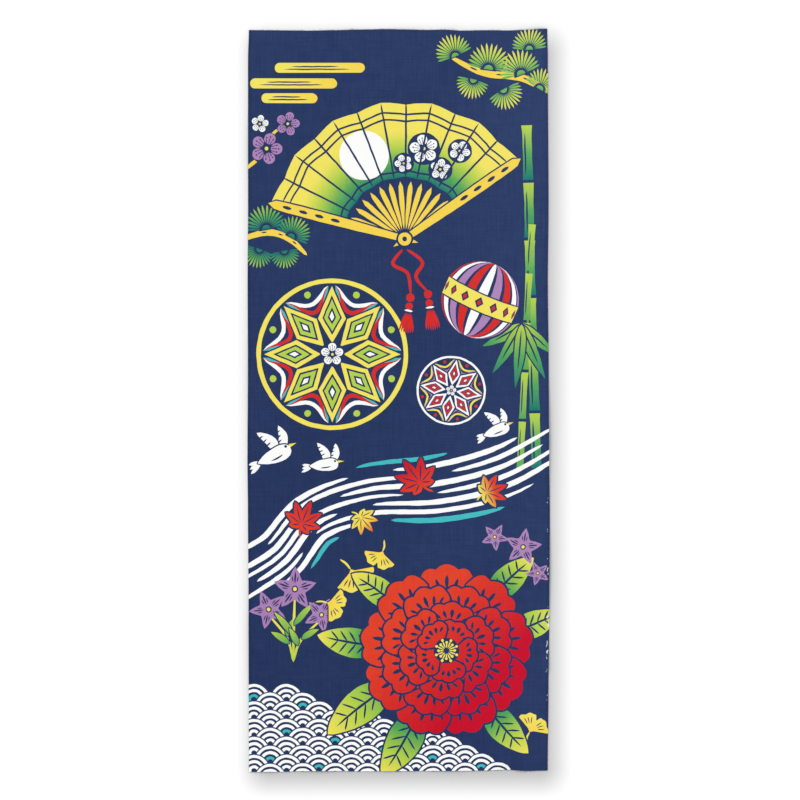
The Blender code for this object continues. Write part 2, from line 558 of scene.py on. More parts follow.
def pine(radius, *dyes):
    """A tuft: fifteen needles fanned over a small cup."""
    fade = ((0, 0), (0, radius))
    cuts = cut(polar(radius * 0.30, np.linspace(-98, 98, 12)), "navy")
    for angle in np.linspace(-82, 82, 15):
        length = radius * (0.86 + 0.14 * np.cos(np.radians(angle * 1.4)))
        knots = [polar(radius * 0.24, angle), polar(length, angle)]
        cuts += stroke(knots, radius * 0.088, *dyes, power=0.45, lean=0.62, count=7, fade=fade)
    return cuts + cut(polar(radius * 0.17, np.linspace(-90, 90, 9)), *dyes, fade=fade)


def bough(knots, width, tufts, radius, *dyes):
    """A pine bough: a gnarled gold limb, and tufts of needles along it."""
    limb = smooth_line(knots, 26)
    cuts = outlined(ribbon(limb, width, 0.35, 0.40), 1.6, "gold")
    for k in (6, 12, 18):
        cuts += stroke(limb[[k, k + 2]] + (0, width * 0.05), width * 0.22, "navy", count=5)
    for x, y, angle, share in tufts:
        cuts += placed(pine(radius * share, *dyes), x, y, angle)
    return cuts


print("a broad leaf takes", len(broad_leaf(80, 36, 8, "lime")), "cuts")
print("a tuft of pine takes", len(pine(30, "green")), "cuts")

# %% Cut the bamboo
SPRAY_LEAVES = ((128, 0.74, -5), (-132, 0.70, 5), (152, 0.92, -4), (-160, 0.88, 4), (176, 1.0, 3))


def bamboo_cane(height, width, joints, *dyes):
    """A cane of jointed lengths, each waisted as a fourth power, with a highlight cut down one side."""
    cuts = []
    step = height / joints
    for k in range(joints):
        low, high = k * step + 1.8, (k + 1) * step - 1.8
        t = np.linspace(0, 1, 9)
        half = width / 2 * (0.86 + 0.14 * (2 * t - 1) ** 4)
        y = low + (high - low) * t
        outline = np.vstack([np.stack([half, y], axis=1), np.stack([-half, y], axis=1)[::-1]])
        cuts += cut(outline, *dyes, fade=((0, low), (0, high)))
        cuts += stroke([(-width * 0.2, low + 5), (-width * 0.2, high - 8)], width * 0.17, "navy", count=8)
    return cuts


def bamboo_spray(length, *dyes):
    """Five leaves hanging from one node, each with its angle, its share of the length and its bend."""
    cuts = []
    for angle, share, bend in SPRAY_LEAVES:
        outline = leaf(length * share, length * 0.17, bend, 0.85, 0.36)
        one = outlined(outline, 1.6, *dyes, fade=((0, 0), (0, length)))
        one += stroke([(0, length * 0.07), (bend * 0.5, length * share * 0.72)], 2.0, "navy", power=0.6)
        cuts += placed(one, angle=angle)
    return cuts


print("a spray takes", len(bamboo_spray(80, "lime")), "cuts")

# %% [markdown]
# ## Fan, thread balls and tassels
#
# The fan's leaf is cut pleat by pleat, so that each pleat can fade from its rim inwards. The two kinds of
# ball are toys wound with coloured thread: one shows its star of nested kites face on, the other its
# gores from the side, where a meridian at angle a is the curve x = r sin(a) cos(b), y = r sin(b).

# %% Cut the fan's leaf
FAN_RADIUS = 168
FAN_OPENING = 128
FAN_PLEATS = 12
FAN_INNER = FAN_RADIUS * 0.44
FAN_FOLD = 0.028
FAN_BLOSSOMS = ((22, 112, 18), (37, 95, 13), (42, 126, 13), (9, 92, 11))
FAN_DYES = ("yellow", "yellow", "yellow", "lime", "green", "teal")


def fan_edges(angle, radius, ripple):
    """Points on the folded edge of the leaf: the radius dips at every second pleat."""
    folds = np.linspace(-FAN_OPENING / 2, FAN_OPENING / 2, FAN_PLEATS + 1)
    dips = 1 - ripple * (np.arange(FAN_PLEATS + 1) % 2)
    return polar(radius * np.interp(angle, folds, dips), angle)


def leaf_part(angle):
    """The part of the leaf that an array of angles sweeps, from its outer edge to its inner one."""
    return np.vstack([fan_edges(angle, FAN_RADIUS, FAN_FOLD), fan_edges(angle, FAN_INNER, -FAN_FOLD)[::-1]])


def fan_leaf(folds):
    """The folded leaf with its border lines, a moon and blossoms; each pleat fades from its rim inwards."""
    sweep = np.linspace(folds[0], folds[-1], FAN_PLEATS * 4 + 1)
    cuts = cut(grown(leaf_part(sweep), 2.0), "navy")
    for start, end in zip(folds[:-1], folds[1:]):
        middle = (start + end) / 2
        fade = (polar(FAN_RADIUS, middle), polar(FAN_INNER, middle))
        cuts += cut(leaf_part(np.linspace(start, end, 4)), *FAN_DYES, fade=fade)
    lines = ((FAN_RADIUS * 0.925, FAN_FOLD), (FAN_RADIUS * 0.875, FAN_FOLD), (FAN_INNER * 1.10, -FAN_FOLD))
    for radius, ripple in lines:
        cuts += cut(ribbon(fan_edges(sweep, radius, ripple), 2.3, 0.05), "navy")
    cuts += cut(disc(30, polar(113, -16)), "white")
    for turn, (angle, radius, size) in enumerate(FAN_BLOSSOMS):
        x, y = polar(radius, angle)
        cuts += cut(disc(size + 1.8, (x, y)), "navy") + placed(plum(size, "white"), x, y, 20 * turn)
    return cuts


print("one pleat takes", len(leaf_part(np.linspace(0, 10, 4))), "points")

# %% Cut the whole fan
def fan():
    """An open folding fan with its pivot at the origin: leaf, fold lines, ribs, guards and pivot."""
    half = FAN_OPENING / 2
    folds = np.linspace(-half, half, FAN_PLEATS + 1)
    cuts = fan_leaf(folds)
    for fold in folds[1:-1]:
        knots = [polar(FAN_INNER * 0.98, fold), polar(FAN_RADIUS, fold)]
        cuts += stroke(knots, 2.4, "navy", power=0.12, count=14)
    for middle in (folds[:-1] + folds[1:]) / 2:
        knots = [polar(FAN_RADIUS * 0.07, middle), polar(FAN_INNER * 0.95, middle)]
        cuts += stroke(knots, FAN_RADIUS * 0.036, "gold", power=0.28, lean=0.72, count=10)
    for side in (-half - 1.2, half + 1.2):
        spine = smooth_line([(0, -FAN_RADIUS * 0.10), (0, FAN_RADIUS * 1.02)], 24)
        guard = outlined(ribbon(spine, FAN_RADIUS * 0.072, 0.16, 0.72), 1.8, "gold")
        for place in (0.52, 0.64, 0.76, 0.88):
            knots = [(0, FAN_RADIUS * (place - 0.035)), (0, FAN_RADIUS * (place + 0.035))]
            guard += stroke(knots, FAN_RADIUS * 0.024, "navy", count=8)
        cuts += placed(guard, angle=side)
    for radius, dye in ((0.062, "navy"), (0.048, "gold"), (0.018, "navy")):
        cuts += cut(disc(FAN_RADIUS * radius), dye)
    return cuts


print("the fan takes", len(fan()), "cuts")

# %% Cut the tassels and the cord
def tassel(length, dye):
    """A knot, a bound neck and a skirt of hanging threads, hung from the origin."""
    w = length * 0.30
    cuts = cut(disc(w * 0.34, (0, -w * 0.34)), dye) + cut(disc(w * 0.29, (0, -w * 1.05)), dye)
    cuts += stroke([(-w * 0.36, -w * 1.42), (w * 0.36, -w * 1.42)], w * 0.16, "white", power=0.2, count=6)
    for side in np.linspace(-1, 1, 7):
        middle = (side * w * 0.42, -length * 0.72)
        end = (side * w * 0.56, -length * (1 - 0.05 * abs(side)))
        cuts += stroke([(side * w * 0.22, -w * 1.60), middle, end], w * 0.15, dye, power=0.4, lean=0.6)
    return cuts


def cord(knots, dye):
    """A length of cord that passes over what lies behind it."""
    return outlined(ribbon(smooth_line(knots, 18), 4.2, 0.2), 1.4, dye)


print("a tassel takes", len(tassel(50, "red")), "cuts")

# %% Cut the star ball
def star_ball(radius, star, filling, wraps):
    """A ball face on: eight nested kites meet in a star, and threads dip between their tips."""
    cuts = cut(disc(radius + 2.4), "navy") + cut(disc(radius), star) + cut(disc(radius * 0.94), "navy")
    corners = np.array([(0, 0.90), (0.185, 0.47), (0, 0.15), (-0.185, 0.47)]) * radius
    steps = np.arange(6)[:, None] / 6
    sides = zip(corners, np.roll(corners, -1, axis=0))
    kite = np.vstack([start + (end - start) * steps for start, end in sides])
    middle = np.array([0, radius * 0.50])
    for k in range(8):
        for dye, dip in wraps:
            knots = [polar(radius * 0.91, 3.0), polar(radius * dip, 22.5), polar(radius * 0.91, 42.0)]
            cuts += placed(stroke(knots, radius * 0.054, dye, power=0.25, count=12), angle=45 * k)
    for k in range(8):
        one = cut(disc(radius * 0.045, polar(radius * 0.845, 22.5)), filling)
        one += cut(grown(kite, 1.8), "navy")
        for share, dye in ((1.0, star), (0.70, "navy"), (0.57, filling), (0.30, "navy"), (0.17, "white")):
            one += cut((kite - middle) * share + middle, dye)
        cuts += placed(one, angle=45 * k)
    return cuts + cut(disc(radius * 0.165), "navy") + plum(radius * 0.155, "white")


print("a star ball takes", len(star_ball(90, "yellow", "lime", (("white", 0.7),))), "cuts")

# %% Cut the ball of gores
GORE_GAP = 0.05


def gore_ball(radius, dyes, belt_dye):
    """A ball from the side: nine gores between meridians, and a belt that sags as a parabola."""
    cuts = cut(disc(radius + 2.2), "navy")
    up = np.radians(np.linspace(-90, 90, 21))
    bounds = np.radians(np.linspace(-90, 90, 10))
    for k, (start, end) in enumerate(zip(bounds[:-1], bounds[1:])):
        sides = [np.sin(side) * np.cos(up) for side in (start + GORE_GAP, end - GORE_GAP)]
        left, right = (np.stack([side, np.sin(up)], axis=1) for side in sides)
        cuts += cut(np.vstack([left, right[::-1]]) * radius, dyes[k % len(dyes)])
    share = np.linspace(-1, 1, 15)
    sag = 0.07 * (1 - share ** 2)
    low, high = (np.stack([0.9755 * share, edge - sag], axis=1) * radius for edge in (-0.22, 0.22))
    cuts += outlined(np.vstack([low, high[::-1]]), 1.7, belt_dye)
    for k in range(-3, 4):
        side = np.radians(24 * k)
        middle = np.array([0.98 * np.sin(side), -0.07 * np.cos(side) ** 2]) * radius
        lozenge = np.array([(0, 0.15), (0.115, 0), (0, -0.15), (-0.115, 0)]) * (np.cos(side), 1) * radius
        cuts += cut(middle + lozenge, "navy") + cut(middle + lozenge * 0.5, dyes[0])
    return cuts


print("a ball of gores takes", len(gore_ball(47, ("red", "white"), "yellow")), "cuts")

# %% [markdown]
# ## Water, waves, mist and birds
#
# A stream is a bundle of long strokes that run side by side. The sea in the corner is a traditional
# pattern of nested rings, laid row over row, each row half a scale along from the one above.

# %% Cut the stream
STREAM_KNOTS = [(200, -52), (128, -92), (48, -112), (-36, -118), (-104, -142), (-146, -190), (-200, -224)]
STREAM_SPREAD = 11.0
STREAM_POINTS = 90
Run = namedtuple("Run", "row start end dye")
STREAM_RUNS = (
    Run(-4, 0.30, 0.52, "turquoise"),
    Run(-3, 0.10, 0.44, "white"),
    Run(-3, 0.54, 0.97, "white"),
    Run(-2, 0.00, 0.30, "white"),
    Run(-2, 0.36, 0.84, "white"),
    Run(-1, 0.05, 0.58, "white"),
    Run(-1, 0.66, 1.00, "white"),
    Run(0, 0.00, 0.34, "white"),
    Run(0, 0.42, 1.00, "white"),
    Run(1, 0.00, 0.50, "white"),
    Run(1, 0.60, 0.94, "white"),
    Run(2, 0.12, 0.70, "white"),
    Run(2, 0.78, 1.00, "white"),
    Run(3, 0.20, 0.46, "turquoise"),
    Run(3, 0.56, 0.88, "white"),
    Run(4, 0.62, 0.80, "turquoise"),
)


def stream():
    """Strokes that follow one curve side by side, closer and wider by a sine wave along it."""
    middle = smooth_line(STREAM_KNOTS, STREAM_POINTS)
    along = np.gradient(middle, axis=0)
    along /= np.linalg.norm(along, axis=1, keepdims=True)
    side = np.stack([-along[:, 1], along[:, 0]], axis=1)
    t = np.linspace(0, 1, len(middle))
    spread = STREAM_SPREAD * (0.95 + 0.12 * np.sin(2 * np.pi * t + 0.6))
    cuts = []
    for run in STREAM_RUNS:
        first, last = (int(share * (STREAM_POINTS - 1)) for share in (run.start, run.end))
        part = slice(first, last + 1)
        spine = middle[part] + side[part] * (run.row * spread[part])[:, None]
        cuts += cut(ribbon(spine, 6.8 if run.row % 2 else 5.6, 0.34), run.dye)
    return cuts


print("the stream takes", len(stream()), "cuts")

# %% Cut the sea and the mist
SCALE_RADIUS = 19
SEA_LEFT, SEA_LOW = -176, -470
SEA_ROWS = 10


def sea():
    """Rows of nested rings that shorten upwards; each scale hides the lower half of those behind it."""
    cuts = []
    for row in range(SEA_ROWS, -1, -1):
        reach = int(SEA_ROWS + 8 - row - 0.06 * row ** 2)
        for place in range(row % 2, reach + 1, 2):
            x = SEA_LEFT + place * (SCALE_RADIUS + 0.8)
            y = SEA_LOW + row * SCALE_RADIUS * 0.56
            cuts += cut(disc(SCALE_RADIUS + 1.5, (x, y)), "navy")
            inner = "turquoise" if (3 * row + place) % 10 == 0 else "white"
            for share, dye in ((1.0, "white"), (0.68, "white"), (0.36, inner)):
                cuts += cut(disc(SCALE_RADIUS * share, (x, y)), dye)
                cuts += cut(disc(SCALE_RADIUS * (share - 0.18), (x, y)), "navy")
    return cuts


def mist(bars, thickness, *dyes):
    """Drifting bars with round ends, each with two thin slits."""
    cuts = []
    for start, end, y in bars:
        half = thickness / 2
        right = polar(half, np.linspace(0, 180, 9)) + (end - half, y)
        left = polar(half, np.linspace(180, 360, 9)) + (start + half, y)
        bar = np.vstack([right, left])
        cuts += outlined(bar, 2.2, *dyes, fade=((start, y), (end, y)))
        for shift, inset in ((-0.14, 0.10), (0.14, 0.18)):
            gap = (end - start) * inset
            knots = [(start + gap, y + shift * thickness), (end - gap * 1.6, y + shift * thickness)]
            cuts += stroke(knots, thickness * 0.14, "navy", power=0.3, count=12)
    return cuts


print("the sea takes", len(sea()), "cuts")

# %% Cut the birds and the sprig
def bird():
    """A small shore bird in flight: two wings with feathers cut in, a forked tail, a body and a beak."""
    cuts = []
    for tip, width, foot in (((9, 27), 9.0, (7, 4)), ((-13, 25), 10.5, (2, 5))):
        elbow = ((foot[0] + tip[0]) / 2 + 3, 15)
        cuts += outlined(ribbon(smooth_line([foot, elbow, tip], 12), width, 0.7, 0.38), 1.3, "white")
        for share in (0.34, 0.54, 0.74):
            at = np.array(foot) + (np.array(tip) - foot) * share
            cuts += stroke([at + (-5.0, -2.2), at + (1.4, 1.2)], 1.5, "navy", count=5)
    for k in (-1, 0, 1):
        knots = [(-16, -4 + k * 1.3), (-28, -8 + k * 4.5)]
        cuts += stroke(knots, 3.4, "white", power=0.4, lean=0.6, count=6)
    body = ribbon(smooth_line([(-19, -4), (-8, -2), (7, 1), (15, 5)], 15), 15.0, 0.55, 0.62)
    cuts += outlined(body, 1.3, "white")
    cuts += cut([(14.5, 7.0), (22, 6.4), (15, 3.4)], "yellow") + cut(disc(1.4, (11.0, 5.6)), "navy")
    return cuts + stroke([(-6, -5), (1, -3.6), (7, -1.5)], 1.6, "navy", count=8)


def sprig(flower_dye, stems):
    """Bellflowers on thin stems that rise from one place, with narrow leaves."""
    cuts = []
    for lean, height, size in stems:
        knots = [(0, 0), (lean * 0.25, height * 0.5), (lean, height)]
        spine = smooth_line(knots, 14)
        cuts += cut(ribbon(spine, 3.2, 0.25), "lime", "yellow", fade=((0, 0), (0, height)))
        for side, place in ((-1, 5), (1, 7)):
            foot = spine[place]
            blade = turned(leaf(height * 0.46, 7.5, side * 4, 0.8, 0.42, 11), lean * 0.5 + side * 34)
            fade = (foot, foot + (side * 12, height * 0.35))
            cuts += outlined(blade + foot, 1.2, "green", "lime", fade=fade)
        cuts += placed(bellflower(size, flower_dye), lean, height + size * 0.25, lean * 0.8)
    return cuts


print("a bird takes", len(bird()), "cuts")

# %% [markdown]
# ## Compose the design
#
# The motifs are set on the cloth from the back forwards: sky and fan, the balls in the middle, the water,
# and the flowers at the foot. The numbers are millimetres from the middle of the cloth and degrees
# clockwise.

# %% Place the sky and the fan
MIST_BARS = ((-150, -40, 404), (-180, -74, 385), (-166, -98, 367))
RIGHT_BOUGH = [(190, 372), (150, 392), (104, 398), (62, 418)]
RIGHT_TUFTS = (
    (150, 396, -20, 0.95), (110, 402, 8, 1.0), (70, 418, -24, 0.85), (172, 378, 30, 0.8),
    (128, 378, 150, 0.8), (92, 390, 196, 0.75), (160, 426, 0, 0.8),
)
LEFT_BOUGH = [(-190, 196), (-158, 204), (-132, 196), (-110, 176)]
LEFT_TUFTS = ((-160, 208, -10, 1.0), (-130, 198, 28, 0.9), (-168, 184, 200, 0.8), (-138, 182, 170, 0.75))
PLUM_TWIG = [(-192, 276), (-168, 296), (-158, 318), (-132, 340)]
TWIG_PLUMS = ((-160, 306, 20, "lavender"), (-134, 336, 15, "lavender"), (-168, 336, 11, "white"))


def sky_and_fan():
    """Mist, two pine boughs, a plum twig, two canes of bamboo and the fan."""
    cuts = mist(MIST_BARS, 12, "yellow", "yellow", "gold")
    cuts += bough(RIGHT_BOUGH, 9, RIGHT_TUFTS, 33, "green", "lime", "yellow")
    cuts += bough(LEFT_BOUGH, 8, LEFT_TUFTS, 30, "teal", "green", "lime")
    cuts += stroke(PLUM_TWIG, 4.5, "gold", power=0.3, lean=0.3, count=16)
    for x, y, size, dye in TWIG_PLUMS:
        cuts += cut(disc(size, (x, y)), "navy") + placed(plum(size, dye), x, y, size)
    cuts += placed(bamboo_cane(420, 13, 6, "teal", "green", "lime"), 167, -84, -1.5)
    cuts += placed(bamboo_cane(300, 9, 5, "green", "lime"), 147, -84, 3)
    return cuts + placed(fan(), 8, 196, -10)


print("sky and fan:", len(sky_and_fan()), "cuts")

# %% Place the balls and the water
BIG_WRAPS = (("white", 0.705), ("red", 0.595), ("turquoise", 0.485))
SMALL_WRAPS = (("yellow", 0.70), ("lavender", 0.58))
BIRDS = ((-148, -66, -14, 1.25), (-88, -78, 6, 1.0), (120, -36, -10, 0.95))
Afloat = namedtuple("Afloat", "x y angle size dyes")
MAPLE_LEAVES = (
    Afloat(-118, -150, 24, 30, ("orange", "red")),
    Afloat(26, -100, -36, 34, ("orange", "red", "crimson")),
    Afloat(106, -112, 70, 27, ("yellow", "orange", "red")),
    Afloat(-46, -142, 140, 23, ("yellow", "gold", "orange")),
)


def balls_and_cord():
    """The fan's cord and tassels, three thread balls and a spray of bamboo."""
    cuts = placed(bamboo_spray(78, "lime", "green", "teal"), 150, 92, 8)
    cuts += placed(star_ball(92, "yellow", "lime", BIG_WRAPS), -80, 56)
    cuts += placed(gore_ball(47, ("red", "white", "lavender"), "yellow"), 100, 122, 24)
    cuts += placed(star_ball(42, "white", "red", SMALL_WRAPS), 64, 12, 10)
    cuts += cord([(10, 184), (30, 168), (22, 150), (36, 132)], "red")
    cuts += cord([(6, 184), (-6, 166), (12, 154), (16, 128)], "red")
    return cuts + placed(tassel(50, "red"), 36, 134, -8) + placed(tassel(50, "red"), 16, 130, 8)


def water_and_birds():
    """Three birds over the stream, and maple leaves afloat on it."""
    cuts = []
    for x, y, angle, size in BIRDS:
        cuts += placed(bird(), x, y, angle, size)
    cuts += stream()
    for one in MAPLE_LEAVES:
        cuts += placed(maple(one.size, *one.dyes), one.x, one.y, one.angle)
    return cuts


print("balls:", len(balls_and_cord()), "cuts, water:", len(water_and_birds()), "cuts")

# %% Place the flowers at the foot
PEONY_PLACE = (58, -304)
LEAF_GREENS = ("teal", "green", "lime", "yellow")
PeonyLeaf = namedtuple("PeonyLeaf", "angle length width bend")
PEONY_LEAVES = (
    PeonyLeaf(204, 90, 42, 10),
    PeonyLeaf(238, 96, 42, -10),
    PeonyLeaf(274, 78, 36, 8),
    PeonyLeaf(312, 68, 32, -8),
    PeonyLeaf(40, 74, 34, 8),
    PeonyLeaf(74, 66, 32, -8),
    PeonyLeaf(144, 80, 36, -8),
)
GINKGO_LEAVES = ((-58, -206, 150, 27), (-20, -184, 205, 21), (-86, -246, 110, 22), (160, -402, 30, 22))
BELLFLOWERS = ((150, -178, 10, 23), (116, -166, 30, 17), (168, -210, 50, 15))
SPRIG_STEMS = ((-30, 58, 24), (2, 82, 27), (34, 52, 22))


def flowers_at_the_foot():
    """The sea in the corner, the peony among its leaves, bellflowers, and ginkgo leaves that fall."""
    cuts = sea()
    cuts += placed(sprig("lavender", SPRIG_STEMS), -128, -318)
    for x, y, angle, size in GINKGO_LEAVES:
        cuts += placed(ginkgo(size, "gold", "yellow"), x, y, angle)
    for k, one in enumerate(PEONY_LEAVES):
        x, y = np.array(PEONY_PLACE) + polar(80, one.angle)
        dyes = LEAF_GREENS[1:] if k % 2 else LEAF_GREENS
        cuts += placed(broad_leaf(one.length, one.width, one.bend, *dyes), x, y, one.angle)
    cuts += placed(peony(103), *PEONY_PLACE)
    for x, y, angle, size in BELLFLOWERS:
        cuts += placed(bellflower(size, "lavender"), x, y, angle)
    return cuts


def design():
    """All the cuts, from the back forwards."""
    return sky_and_fan() + balls_and_cord() + water_and_birds() + flowers_at_the_foot()


print("the whole design:", len(design()), "cuts")

# %% [markdown]
# ## Where the cloth lies
#
# The design is drawn on the flat cloth, and the cloth lies on ripples inside an outline that wanders. The
# solid has both. Rays shot up at its underside on a coarse grid give the ripples, and its outermost
# corners give the four edges. Smooth curves through those samples then carry any point of the flat cloth
# to its place. A Shrinkwrap modifier would find the ripples too, but wouldn't stretch the design out to
# the wandering edges.

# %% Read the ripples and edges from the solid
CLOTH_WIDTH = 0.3645
CLOTH_LENGTH = 0.900
HALF_CLOTH_MM = np.array([CLOTH_WIDTH, CLOTH_LENGTH]) * 500
SAMPLES_ACROSS, SAMPLES_UP = 45, 109
RIM_REACH = 0.004
END_REACH = 0.070
CLOTH_THICKNESS = 0.00045
CLOTH_CLEARANCE = 0.00005

solid_points = np.empty(len(solid.data.vertices) * 3)
solid.data.vertices.foreach_get("co", solid_points)
solid_points = solid_points.reshape(-1, 3)


def rim_of(axis, side):
    """How one edge of the solid runs: its place along the edge, and how far out it stands."""
    limit = solid_points[:, axis].min() if side < 0 else solid_points[:, axis].max()
    near = solid_points[np.abs(solid_points[:, axis] - limit) < RIM_REACH]
    order = np.argsort(near[:, 1 - axis])
    return near[order, 1 - axis], near[order, axis]


def ripple_samples():
    """The height of the solid's underside on a coarse grid, by rays shot straight up at it."""
    solid.data.calc_loop_triangles()
    faces = [tuple(triangle.vertices) for triangle in solid.data.loop_triangles]
    tree = BVHTree.FromPolygons(solid_points.tolist(), faces)
    inset = 0.999
    xs = np.linspace(-0.5, 0.5, SAMPLES_ACROSS) * CLOTH_WIDTH * inset
    ys = np.linspace(-0.5, 0.5, SAMPLES_UP) * CLOTH_LENGTH * inset
    hits = [tree.ray_cast((x, y, -1.0), (0.0, 0.0, 1.0)) for y in ys for x in xs]
    heights = [hit[0].z if hit[0] is not None else 0.0 for hit in hits]
    return np.array(heights).reshape(SAMPLES_UP, SAMPLES_ACROSS)


ripples = ripple_samples()
left_rim, right_rim = rim_of(0, -1), rim_of(0, 1)
lower_rim, upper_rim = rim_of(1, -1), rim_of(1, 1)
print("the ripples stand up to", round(float(ripples.max()) * 1000, 2), "mm off the floor")

# %% Carry the flat cloth to its place
def cubic_weights(t):
    """The four weights of the smooth curve that passes through its middle two samples."""
    outer = (t * (t * (2 - t) - 1), t * t * (t - 1))
    middle = (2 + t * t * (3 * t - 5), t * (1 + t * (4 - 3 * t)))
    return np.stack([outer[0], middle[0], middle[1], outer[1]]) / 2


def ripple_height(u, v):
    """The ripple grid read between its samples, with a smooth curve through the four nearest each way."""
    column, row = np.clip(u, 0, 1) * (SAMPLES_ACROSS - 1), np.clip(v, 0, 1) * (SAMPLES_UP - 1)
    i = np.minimum(column.astype(int), SAMPLES_ACROSS - 2)
    j = np.minimum(row.astype(int), SAMPLES_UP - 2)
    across, up = cubic_weights(column - i), cubic_weights(row - j)
    height = np.zeros_like(u)
    for a in range(4):
        near_column = np.clip(i + a - 1, 0, SAMPLES_ACROSS - 1)
        for b in range(4):
            near_row = np.clip(j + b - 1, 0, SAMPLES_UP - 1)
            height += across[a] * up[b] * ripples[near_row, near_column]
    return np.maximum(height, 0.0)


def laid(flat):
    """Flat cloth in millimetres to its place in metres.

    x slides between the two side rims, y moves out to the end rims only within their reach, as half a
    cosine, and z is the ripple under that place.
    """
    u = flat[:, 0] / 1000 / CLOTH_WIDTH + 0.5
    v = flat[:, 1] / 1000 / CLOTH_LENGTH + 0.5
    y = flat[:, 1] / 1000
    near_low = 0.5 + 0.5 * np.cos(np.pi * np.clip(v * CLOTH_LENGTH / END_REACH, 0, 1))
    near_high = 0.5 + 0.5 * np.cos(np.pi * np.clip((1 - v) * CLOTH_LENGTH / END_REACH, 0, 1))
    plain_x = (u - 0.5) * CLOTH_WIDTH
    y = y + near_low * (np.interp(plain_x, *lower_rim) + CLOTH_LENGTH / 2)
    y = y + near_high * (np.interp(plain_x, *upper_rim) - CLOTH_LENGTH / 2)
    left, right = np.interp(y, *left_rim), np.interp(y, *right_rim)
    x = left + (right - left) * u
    return np.stack([x, y, ripple_height(u, v) + CLOTH_CLEARANCE], axis=1)


corner = laid(HALF_CLOTH_MM[None])[0]
print("the upper right corner of the cloth lies at", np.round(corner, 4))

# %% [markdown]
# ## Set the design into the cloth
#
# Each outline of the stencil becomes edges of the cloth's own mesh. Blender's constrained triangulation
# takes all the outlines together, and every triangle then lies wholly inside or outside each outline. The
# last outline that holds a triangle gives it its dye, as the last paste laid on real cloth would, and
# where a dye fades into another the triangle's corners hold the mixture. Many outlines run hidden under
# later ones, so the work is done twice: the second time only with the edges that part two looks, and with
# an even grid of points that lets the sheet follow its ripples.

# %% Lay out the points
GRID_STEP = 6.5
EDGE_STEP = 3.0
HAND_WANDER = 0.16


def perimeter():
    """The plain rectangle as a loop of evenly spaced points."""
    corners = np.array([(-1, -1), (1, -1), (1, 1), (-1, 1)]) * HALF_CLOTH_MM
    sides = []
    for start, end in zip(corners, np.roll(corners, -1, axis=0)):
        count = int(np.linalg.norm(end - start) / EDGE_STEP)
        sides.append(start + (end - start) * np.arange(count)[:, None] / count)
    return np.vstack(sides)


def hand_cut(points):
    """Outlines cut by hand and softened by spreading dye: two crossed waves shift each point a little."""
    x, y = points[:, 0], points[:, 1]
    shift_x = np.sin(x * 0.31 + 1.7 * np.sin(y * 0.23)) + 0.6 * np.sin(y * 0.83 + x * 0.47)
    shift_y = np.sin(y * 0.29 + 1.9 * np.sin(x * 0.21)) + 0.6 * np.sin(x * 0.79 - y * 0.53)
    return points + HAND_WANDER * np.stack([shift_x, shift_y], axis=1)


def grid_points():
    """An even grid over the cloth, half a step in from its edges."""
    inner = HALF_CLOTH_MM - GRID_STEP / 2
    columns, rows = (int(side * 2 / GRID_STEP) for side in inner)
    grid = np.meshgrid(np.linspace(-inner[0], inner[0], columns), np.linspace(-inner[1], inner[1], rows))
    return np.stack([axis.ravel() for axis in grid], axis=1)


cuts = [one._replace(outline=hand_cut(one.outline)) for one in design()]
loops = [perimeter()] + [one.outline for one in cuts]
print(sum(len(loop) for loop in loops), "points in outlines and", len(grid_points()), "in the grid")

# %% Triangulate them
MERGE_WITHIN = 0.02


def loop_links(loops):
    """The edges of closed loops whose points are stacked one loop after another."""
    starts = np.cumsum([0] + [len(loop) for loop in loops])
    return np.vstack([
        start + np.stack([np.arange(len(loop)), np.roll(np.arange(len(loop)), -1)], axis=1)
        for loop, start in zip(loops, starts)
    ])


def triangulate(points, links):
    """Points and triangles of the cloth in which every link is a chain of edges."""
    result = geometry.delaunay_2d_cdt(points.tolist(), links.tolist(), [], 0, MERGE_WITHIN, False)
    flat = np.array([tuple(point) for point in result[0]])
    triangles = np.array(result[2])
    middles = flat[triangles].mean(axis=1)
    inside = (np.abs(middles) < HALF_CLOTH_MM).all(axis=1)
    used, renumbered = np.unique(triangles[inside], return_inverse=True)
    return flat[used], renumbered.reshape(-1, 3)


all_points, all_triangles = triangulate(np.vstack(loops), loop_links(loops))
print("every outline together:", len(all_triangles), "triangles")

# %% Find the outline that holds each triangle
def windings(points, outline):
    """How often an outline runs round each point: rising edges to its right count 1, falling ones -1."""
    x0, y0 = outline.T
    x1, y1 = np.roll(outline, -1, axis=0).T
    px, py = points[:, :1], points[:, 1:]
    right = (x1 - x0) * (py - y0) - (px - x0) * (y1 - y0)
    rising = (y0 <= py) & (y1 > py) & (right > 0)
    falling = (y0 > py) & (y1 <= py) & (right < 0)
    return rising.sum(axis=1) - falling.sum(axis=1)


def holders(flat, triangles, cuts):
    """For each triangle, the number of the last outline that holds its middle, or -1."""
    middles = flat[triangles].mean(axis=1)
    holder = np.full(len(triangles), -1)
    for number, one in enumerate(cuts):
        low, high = one.outline.min(axis=0), one.outline.max(axis=0)
        near = np.flatnonzero(((middles > low) & (middles < high)).all(axis=1))
        holder[near[windings(middles[near], one.outline) != 0]] = number
    return holder


holder = holders(all_points, all_triangles, cuts)
print("bare ground:", round(100 * float((holder < 0).mean())), "% of the triangles")

